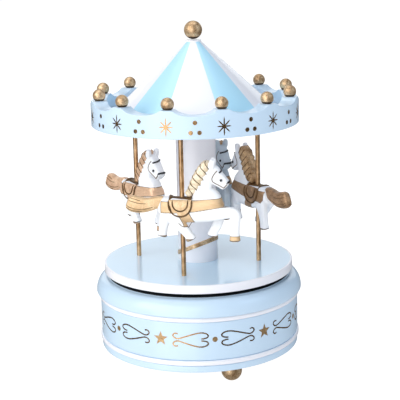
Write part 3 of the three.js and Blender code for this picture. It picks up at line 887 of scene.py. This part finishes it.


# one gold and white paint coloured four ways, one per horse, with the light and shade each stands in
# painted into it: the front horse in full light, the left horse a pinker tan, the right horse painted
# darker and browner for its shade, and the back horse, gold and white alike, painted grey-blue for the deep
# shade under the roof
goldTones = dict(  # light and dark of the gold paint, of the hair's gold and of the white
    Pale=("#f2d2a8", "#d2ad80", "#f8ecd6", "#e2cba6", "#fbfbfb", "#eef0f4"),
    Tan=("#fad6b4", "#cfa585", "#f6d4b4", "#c69c7c", "#f6f7fa", "#e9edf2"),
    InShade=("#b8936e", "#775a40", "#dcb88c", "#8c6a46", "#f3f4f8", "#e6eaf0"),
    InDeepShade=("#d8b48c", "#a07c5a", "#c8a680", "#8e6e50", "#c3ced7", "#b4c1cb"),
)
horseTones = ["Pale", "Tan", "InShade", "InDeepShade"]
horseCoat = {tone: paintedHorse(tone, *c[:2], *c[4:]) for tone, c in goldTones.items()}
flapGold = {tone: brushedGold("brushedGoldOnSaddle" + tone, *c[:2]) for tone, c in goldTones.items()}
hairGold = {tone: brushedGold("brushedGoldOnCarvedHair" + tone, *c[2:4]) for tone, c in goldTones.items()}
# thin brown lines that draw the hair, saddle and cheek straps
lineBrown = gilding(
    "darkBronzeLine", "#7d5e38", "#4a3620",
    dict(grainMm=0.4, cloudMm=2, roughness=0.45, bump=0.2, metallic=0.4),
)
# the strongest marks on a horse: bridle bars, eyes and the soles of the hooves
lineBlack = lacquer(
    "blackBrushedLine", "#17181c", "#232428",
    dict(driftMm=6, peelMm=0.5, peel=0.1, roughness=0.4, coat=0.1, coatRoughness=0.3),
)


def trunkWidth(x, z):
    # half width of the trunk's side at a point, from the same stations as the trunk itself
    s = np.array(horseLimbs["trunk"])
    centre, high, wide = (np.interp(x, s[:, 0], s[:, i]) for i in (2, 3, 4))
    power = horseBuild["power"]
    return wide * np.clip(1 - (np.abs(z - centre) / (high + 0.3)) ** power, 0.02, 1) ** (1 / power)


saddle = dict(
    back=-5.9, long=10.9, spread=1.5, axis=85.2, high=5.75, wide=4.6, lift=0.35, ridge=0.75, ridgeWide=0.1,
    underWide=0.9, underHigh=0.88, flapX=-0.4, flapWide=5.6, flapTop=90.2, flapDeep=7.6, flapSquare=0.85,
    flapLift=0.28, lineTop=89.4, lineDeep=6.9, lineEnd=90.6,
)


def saddleSeat():
    # a strip bent over the back, with a low ridge, a bell curve, across its front and back ends
    s = saddle
    turn = np.linspace(-1, 1, 41)[:, None] * s["spread"]
    length = np.linspace(0, 1, 25)[None]
    x = s["back"] + s["long"] * length + 0 * turn
    ridges = [s["ridge"] * np.exp(-((length - place) / s["ridgeWide"]) ** 2) for place in (0.02, 0.98)]
    lift = s["lift"] + ridges[0] + ridges[1]
    z = s["axis"] + (s["high"] + lift) * np.cos(turn)
    flare = np.where(np.abs(turn) < 1e-6, 1, np.abs(np.sin(turn))) ** -0.2
    y = np.where(np.abs(turn) < 1e-6, 0, (s["wide"] + lift * 0.5) * np.sin(turn) * flare)
    top = np.stack([x, y, z], -1)
    low = np.stack([x, y * s["underWide"], s["axis"] + (z - s["axis"]) * s["underHigh"]], -1)
    seat = np.concatenate([top, low[:, ::-1]], 1)
    ends = seat[[0, -1]].mean(1, keepdims=True) + 0 * seat[[0, -1]]  # both ends close on their middle
    seat = np.concatenate([ends[:1], seat, ends[1:]])
    return seat, gridFaces(len(seat), seat.shape[1])


def saddleFlap(side):
    # a patch like a letter U laid on the trunk's side, a little proud of it
    s = saddle
    a = np.linspace(0, np.pi, 40)
    curve = s["flapTop"] - s["flapDeep"] * np.sin(a) ** s["flapSquare"]
    outline = np.stack([s["flapX"] + s["flapWide"] * np.cos(a), curve], 1)
    closed = np.vstack([outline, outline[::-1] * [1, 0] + [0, s["flapTop"] + 0.2]])
    middle = np.array([s["flapX"], 87.2])
    flat = middle + (closed[None] - middle) * np.linspace(0, 1, 12)[:, None, None]
    proud = trunkWidth(flat[..., 0], flat[..., 1]) + s["flapLift"]
    outer = np.stack([flat[..., 0], side * proud, flat[..., 1]], -1)
    return np.concatenate([outer, outer[::-1] * [1, 0.8, 1]]), gridFaces(24, len(closed))


def saddleLine(side, reach, lift, radius):
    # a raised line along the flap, or a smaller one inside it
    s = saddle
    a = np.linspace(0, np.pi, 40)
    u = s["flapX"] + s["flapWide"] * reach * np.cos(a)
    v = s["lineTop"] - s["lineDeep"] * reach ** 1.15 * np.sin(a) ** s["flapSquare"]
    u = np.r_[u[0], u, u[-1]]
    v = np.r_[s["lineEnd"], v, s["lineEnd"]]
    return tubeShape(np.stack([u, side * (trunkWidth(u, v) + lift), v], 1), radius, 8)


def brushLine(skin, guide, radius, lift=0.0, steps=8):
    # a line painted on the carved skin: each point of the guide moved to the nearest place on it, and then
    # `lift` along the normal there
    line = smoothLine(guide, steps)
    line = np.array([np.array(skin.closest_point_on_mesh(Vector(p * mm))[1]) / mm for p in line])
    out = np.array([np.array(skin.closest_point_on_mesh(Vector(p * mm))[2]) for p in line])
    return tubeShape(line + out * lift, radius, 8)


bridle = dict(  # radii of the brush lines
    brow=0.46, nose=0.5, cheek=0.2, chin=0.22, eye=0.72, eyeSunk=-0.05, mouth=0.26, leg=0.16,
)


def bridleShapes(skin):
    # black bars across the front of the face and the eyes; brown straps round the cheek and under the chin,
    # and the line of the hind leg where it leaves the belly
    bars = [
        brushLine(skin, [[18.6, -3.4, 103.6], [20, 0, 104.7], [19.2, 3.4, 105.6]], bridle["brow"]),
        brushLine(skin, [[22.6, -3.2, 98.6], [24.6, 0, 99.6], [22.6, 3.2, 98.9]], bridle["nose"]),
    ]
    cheeks, outlines = [], []
    for side in (-1, 1):
        far = 4 * side
        cheeks.append(brushLine(skin, [
            [18.0, far, 105.0], [16.2, far, 103.0], [15.0, far, 100.6], [15.4, far, 98.6],
            [17.4, far, 97.4], [19.8, far, 96.0], [20.6, far, 94.9],
        ], bridle["cheek"]))
        chin = [[20.4, far, 95.4], [21.6, far, 96.4], [22.9, far, 97.6]]
        cheeks.append(brushLine(skin, chin, bridle["chin"]))
        eye = [[18.9, far, 99.5], [19.4, far, 99.7], [19.9, far, 99.5]]
        bars.append(brushLine(skin, eye, bridle["eye"], bridle["eyeSunk"], 3))
        mouth = [[22.4, far, 98.6], [22.8, far, 98.3], [23.2, far, 97.7]]
        bars.append(brushLine(skin, mouth, bridle["mouth"]))
        belly = [[-1.4, far, 79.4], [1.2, far, 77.4], [4.6, far, 77.7], [6.4, far, 79.6]]
        outlines.append(brushLine(skin, belly, bridle["leg"]))
    return bars, cheeks, outlines


hoofLine = dict(long=3.4, wide=2.6, height=70.4, radius=0.16)


def hoofLines(skin):
    # a dark line round the bottom edge of each hoof
    s = hoofLine
    a = np.linspace(0, 2 * np.pi, 13)
    lines = []
    for x, y in ((25.7, -leg), (13.6, leg), (5.1, -leg), (-11.1, leg)):
        ring = np.stack([x + s["long"] * np.cos(a), y + s["wide"] * np.sin(a), s["height"] + 0 * a], 1)
        lines.append(brushLine(skin, ring, s["radius"], 0, 4))
    return lines


hair = dict(
    maneStrokes=(0.14, 0.27, 0.4, 0.53, 0.66, 0.79), back=0.05, ahead=0.08, crest=165, root=25,
    tailStrokes=((48, 0.55), (72, 0.3), (98, 0.45), (124, 0.6)),  # angle at its end, place of its start
    maneLine=0.19, tailEnd=0.96, fan=0.8, tailLine=0.15, locks=7.7, slant=0.4, grooveDeep=0.07,
)


def hairStrokes():
    # slanted strokes across the mane and long ones that fan out down the tail, on both sides
    s = hair
    strokes = []
    for turn in (1, -1):
        for t in s["maneStrokes"]:
            angles = (turn * s["crest"], turn * s["root"])
            strokes.append(limbStroke(horseMane, (t - s["back"], t + s["ahead"]), angles, s["maneLine"]))
        for angle, begin in s["tailStrokes"]:
            angles = (turn * (90 + (angle - 90) * s["fan"]), turn * angle)
            strokes.append(limbStroke(horseTail, (begin, s["tailEnd"]), angles, s["tailLine"]))
    return strokes


def hairGrooves(along, angle):
    # edge that swells and dips slightly, once per lock of hair: a cosine along the mane, slanted round it
    wave = np.cos(2 * np.pi * (hair["locks"] * along + hair["slant"] * np.cos(angle)))
    return 1 - hair["grooveDeep"] * (0.5 + 0.5 * wave) ** 2


def placeHorse(mesh, name, azimuth, heading, material, number, stands=()):
    # a copy of the mesh turned to its heading and moved to its rod
    mesh = mesh.copy()
    a, h = math.radians(azimuth), math.radians(heading)
    spot = Vector((rodCircle * math.sin(a), -rodCircle * math.cos(a), 0)) * mm
    mesh.transform(Matrix.Translation(spot) @ Matrix.Rotation(h, 4, "Z"))
    mesh.materials.clear()
    mesh.materials.append(material)
    mesh.polygons.foreach_set("use_smooth", np.ones(len(mesh.polygons), bool))
    mesh.set_sharp_from_angle(angle=math.radians(50))
    piece = bpy.data.objects.new(f"{name}{number}", mesh)
    bpy.context.scene.collection.objects.link(piece)
    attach(piece, "carousel")
    if stands:
        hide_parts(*stands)
    return piece


def horsePieces():
    body = carvedMesh("horseBody", [limbShape(stations) for stations in horseLimbs.values()])
    gilt = body.attributes.new("gilt", "FLOAT", "POINT")
    gilt.data.foreach_set("value", giltMask(vertexArray(body)).astype(np.float32))
    skin = bpy.data.objects.new("skin", body)
    bpy.context.scene.collection.objects.link(skin)
    bpy.context.view_layer.update()
    lines = [saddleLine(side, *kind) for side in (-1, 1) for kind in ((1, 0.35, 0.42), (0.66, 0.45, 0.34))]
    bars, cheeks, outlines = bridleShapes(skin)
    parts = [
        ("horseMane", limbShape(horseMane, 16, 48, hairGrooves), hairGold),
        ("horseTail", limbShape(horseTail, 12, 56), flapGold),
        ("horseSaddle", saddleSeat(), lineBrown),
        ("horseSaddleFlaps", joined([saddleFlap(-1), saddleFlap(1)]), flapGold),
        ("horseSaddleLines", joined(lines + cheeks + outlines + hairStrokes()), lineBrown),
        ("horseBridleBars", joined(bars + hoofLines(skin)), lineBlack),
    ]
    bpy.data.objects.remove(skin)
    for i, (azimuth, heading) in enumerate(horsePlaces, 1):
        coat = horseCoat[horseTones[i - 1]]
        placeHorse(body, "horseBody", azimuth, heading, coat, i, [f"horse_{i}"])
    for name, shape, material in parts:
        loose = looseObject(name, shape)
        for i, (azimuth, heading) in enumerate(horsePlaces, 1):
            paint = material[horseTones[i - 1]] if isinstance(material, dict) else material
            placeHorse(loose.data, name, azimuth, heading, paint, i)
        bpy.data.objects.remove(loose)


horsePieces()
print("horses made")

# ---- the CAD nodes that stay: movement, cover and screws


def metal(name, light, dark, roughness, grainMm):
    # machined metal: grey that drifts a little, with fine turning marks in its gloss
    material, tree, shader, place = newMaterial(name)
    grain = addNode(tree, "ShaderNodeTexNoise", {"Vector": place, "Scale": 1 / (grainMm * mm), "Detail": 4})
    tint = addNode(
        tree, "ShaderNodeMix",
        {"Factor": grain.outputs["Fac"], 6: toLinear(light), 7: toLinear(dark)}, data_type="RGBA",
    )
    tree.links.new(tint.outputs[2], shader.inputs["Base Color"])
    gloss = addNode(
        tree, "ShaderNodeMapRange",
        {"Value": grain.outputs["Fac"], 3: roughness - 0.06, 4: roughness + 0.08},
    )
    tree.links.new(gloss.outputs[0], shader.inputs["Roughness"])
    shader.inputs["Metallic"].default_value = 1
    return material


def fibreboard():
    # pressed hardboard: brown, matt, with short fibres pressed flat
    material, tree, shader, place = newMaterial("pressedHardboard")
    fibre = addNode(tree, "ShaderNodeTexNoise", {"Vector": place, "Scale": 1 / (0.8 * mm), "Detail": 6})
    tint = addNode(
        tree, "ShaderNodeMix",
        {"Factor": fibre.outputs["Fac"], 6: toLinear("#8a6a48"), 7: toLinear("#b8946a")},
        data_type="RGBA",
    )
    tree.links.new(tint.outputs[2], shader.inputs["Base Color"])
    bump = addNode(
        tree, "ShaderNodeBump", {"Height": fibre.outputs["Fac"], "Strength": 0.3, "Distance": 0.1 * mm}
    )
    tree.links.new(bump.outputs[0], shader.inputs["Normal"])
    shader.inputs["Roughness"].default_value = 0.8
    return material


# bright steel and brass catch the light on the movement, the casting stays dull, the cover plain brown
nodeFinishes = {
    "steel": metal("turnedSteel", "#c4c7cb", "#a9adb2", 0.32, 0.6),
    "brass": metal("machinedBrass", "#d9b56a", "#c19a4e", 0.3, 0.6),
    "zinc": metal("zincPlatedCasting", "#a9acb0", "#8e9196", 0.45, 1.2),
    "cover_board": fibreboard(),
}
slotOf = {row["node"]: row["material_slot"] for row in frame["record"]["subparts"]}
for name, node in frame["nodes"].items():
    if not node.hide_render and slotOf[name] in nodeFinishes:
        node.data.materials.clear()
        node.data.materials.append(nodeFinishes[slotOf[name]])
print("movement finished")

# ---- floor, lights and camera

studio = dict(floorWide=12, floorGlow=0.97, room=0.09, world=0.34, domeRadius=14, domeGlow=1.1)
card = dict(glow=1.05, radius=560, left=-50, right=-3, low=-260, high=420)
lamps = dict(  # place and aim in metres, width and height of the lit area, watts, colour
    keyWindow=((-0.85, -0.62, 0.6), (0, 0, 0.09), (0.8, 0.8), 7.0, (1, 0.99, 0.975)),
    topCard=((-0.1, 0.1, 1.1), (0, 0, 0.09), (0.9, 0.9), 4, (1, 1, 1)),
    frontLamp=((-0.2, -0.85, 0.55), (0, 0, 0.1), (0.5, 0.5), 2.4, (1, 0.99, 0.97)),
    blueFill=((0.8, -0.3, 0.68), (0, 0, 0.09), (0.5, 0.5), 1.6, (0.6, 0.78, 1)),
    backCard=((0, 1.1, 0.4), (0, 0, 0.09), (1.4, 0.5), 2.6, (0.97, 0.99, 1)),
)
view = dict(eye=(1.53, -566.1, 215.5), aim=(1.53, 0, 82.1), roll=1.305, lens=103.04, sensor=36)


def stagePiece(name, shape, material, **seenBy):
    points, faces = shape
    mesh = bpy.data.meshes.new(name)
    mesh.from_pydata((points.reshape(-1, 3) * mm).tolist(), [], faces.tolist())
    mesh.materials.append(material)
    piece = bpy.data.objects.new(name, mesh)
    bpy.context.scene.collection.objects.link(piece)
    for ray, seen in seenBy.items():
        setattr(piece, f"visible_{ray}", seen)


def paper(name, glow, light="#ffffff", dark="#fbfbfb", lit="#ffffff"):
    # matt paper lit from behind, with a slow change of shade too faint to draw the eye
    material, tree, shader, place = newMaterial(name)
    tooth = addNode(tree, "ShaderNodeTexNoise", {"Vector": place, "Scale": 1 / (300 * mm), "Detail": 2})
    tint = addNode(
        tree, "ShaderNodeMix", {"Factor": tooth.outputs["Fac"], 6: toLinear(light), 7: toLinear(dark)},
        data_type="RGBA",
    )
    tree.links.new(tint.outputs[2], shader.inputs["Base Color"])
    shader.inputs["Emission Color"].default_value = toLinear(lit)
    shader.inputs["Emission Strength"].default_value = glow
    shader.inputs["Roughness"].default_value = 0.9
    shader.inputs["Specular IOR Level"].default_value = 0
    return material


def floorPiece():
    # a flat square grid
    t = np.linspace(-0.5, 0.5, 9) * studio["floorWide"] / mm
    x, y = np.meshgrid(t, t, indexing="ij")
    flat = np.stack([x, y, 0 * x], -1), gridFaces(9, 9, False, False)
    table = paper("litTableTop", studio["floorGlow"], "#8c8c8c", "#868686")
    stagePiece("paperFloor", flat, table, glossy=False)
    # two domes, part of a circle spun about Z: a white one for the camera and a dim room for reflections
    lift = np.radians(np.linspace(-60, 90, 36))
    profile = np.stack([np.cos(lift), np.sin(lift)], 1) * studio["domeRadius"] / mm
    dome = turnedShape(profile, 64)
    unseen = dict(diffuse=False, shadow=False, transmission=False)
    backdrop = paper("backlitWhitePaper", studio["domeGlow"])
    stagePiece("paperBackdrop", dome, backdrop, glossy=False, **unseen)
    walls = paper("dimRoomWall", studio["room"], "#404040", "#383838")
    stagePiece("dimRoom", dome, walls, camera=False, **unseen)


def glowCard():
    # a tall card low at the front left, part of a circle spun about Z, that only shows in reflections
    across = np.radians(np.linspace(card["left"], card["right"], 24))
    a, z = np.meshgrid(across, np.linspace(card["low"], card["high"], 20), indexing="ij")
    points = np.stack([card["radius"] * np.sin(a), -card["radius"] * np.cos(a), z], -1)
    stagePiece(
        "reflectorCard", (points, gridFaces(24, 20, False, False)), paper("litReflectorCard", card["glow"]),
        camera=False, diffuse=False, shadow=False, transmission=False,
    )


def softLight(name, place, aim, size, power, colour):
    light = bpy.data.lights.new(name, "AREA")
    light.shape = "RECTANGLE"
    light.size, light.size_y = size
    light.energy = power
    light.color = colour
    lamp = bpy.data.objects.new(name, light)
    lamp.location = place
    lamp.rotation_euler = (Vector(aim) - Vector(place)).to_track_quat("-Z", "Y").to_euler()
    bpy.context.scene.collection.objects.link(lamp)


def cameraPiece():
    # looks from the eye to the aim, with the frame tilted a little about that line
    s = view
    eye, aim = Vector(s["eye"]) * mm, Vector(s["aim"]) * mm
    forward = (aim - eye).normalized()
    right = Vector((1, 0, 0))
    up = right.cross(forward)
    c, n = math.cos(math.radians(s["roll"])), math.sin(math.radians(s["roll"]))
    axes = Matrix((right * c - up * n, right * n + up * c, -forward)).transposed()
    camera = bpy.data.cameras.new("studioCamera")
    camera.lens, camera.sensor_width = s["lens"], s["sensor"]
    camera.clip_start, camera.clip_end = 0.02, 50
    holder = bpy.data.objects.new("studioCamera", camera)
    holder.matrix_world = Matrix.Translation(eye) @ axes.to_4x4()
    bpy.context.scene.collection.objects.link(holder)
    bpy.context.scene.camera = holder


def worldLight():
    world = bpy.data.worlds.new("studioRoom")
    bpy.context.scene.world = world
    world.use_nodes = True
    back = world.node_tree.nodes["Background"]
    back.inputs["Color"].default_value = toLinear("#e6effb")
    back.inputs["Strength"].default_value = studio["world"]
    world.cycles_visibility.glossy = False


floorPiece()
glowCard()
worldLight()
for name, lamp in lamps.items():
    softLight(name, *lamp)
cameraPiece()
bpy.context.scene.view_settings.view_transform = "Standard"
print("studio made")
